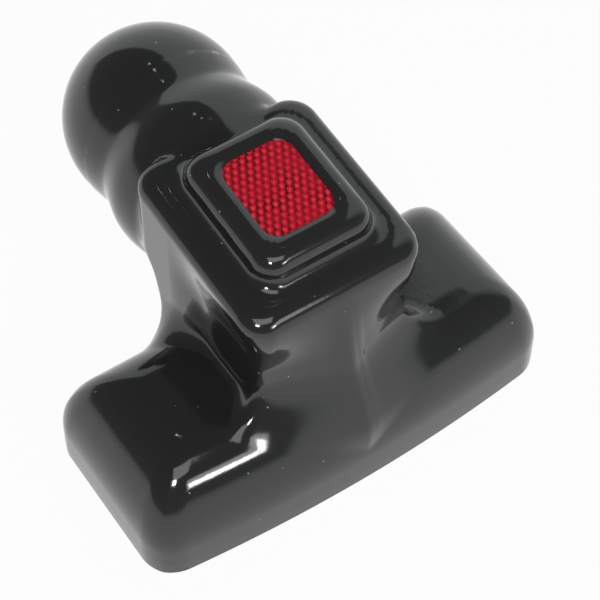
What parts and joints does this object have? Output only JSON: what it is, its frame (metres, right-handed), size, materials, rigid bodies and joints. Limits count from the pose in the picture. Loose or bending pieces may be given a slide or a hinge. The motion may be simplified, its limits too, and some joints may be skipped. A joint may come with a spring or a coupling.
{
  "type": "tow ball cover",
  "caption": "Moulded black cover for a flange tow ball, with a ball pocket, a two-winged flange cover and a red reflector behind a window.",
  "frame": {"origin": "under the middle of the whole cover, in the plane of the open rim", "axes": "+X along the flange cover, +Y up the ball's axis when fitted, +Z away from the car, out of the reflector"},
  "size_m": [0.14, 0.1424, 0.0887],
  "materials": {
    "cover": "glossy dip-moulded soft PVC",
    "reflector_lens": "clear red acrylic with prisms behind",
    "reflector_plate": "plain moulded plate"
  },
  "bodies": {
    "root": {"cover": "cover", "reflector_lens": "reflector_lens", "reflector_plate": "reflector_plate"}
  },
  "joints": []
}
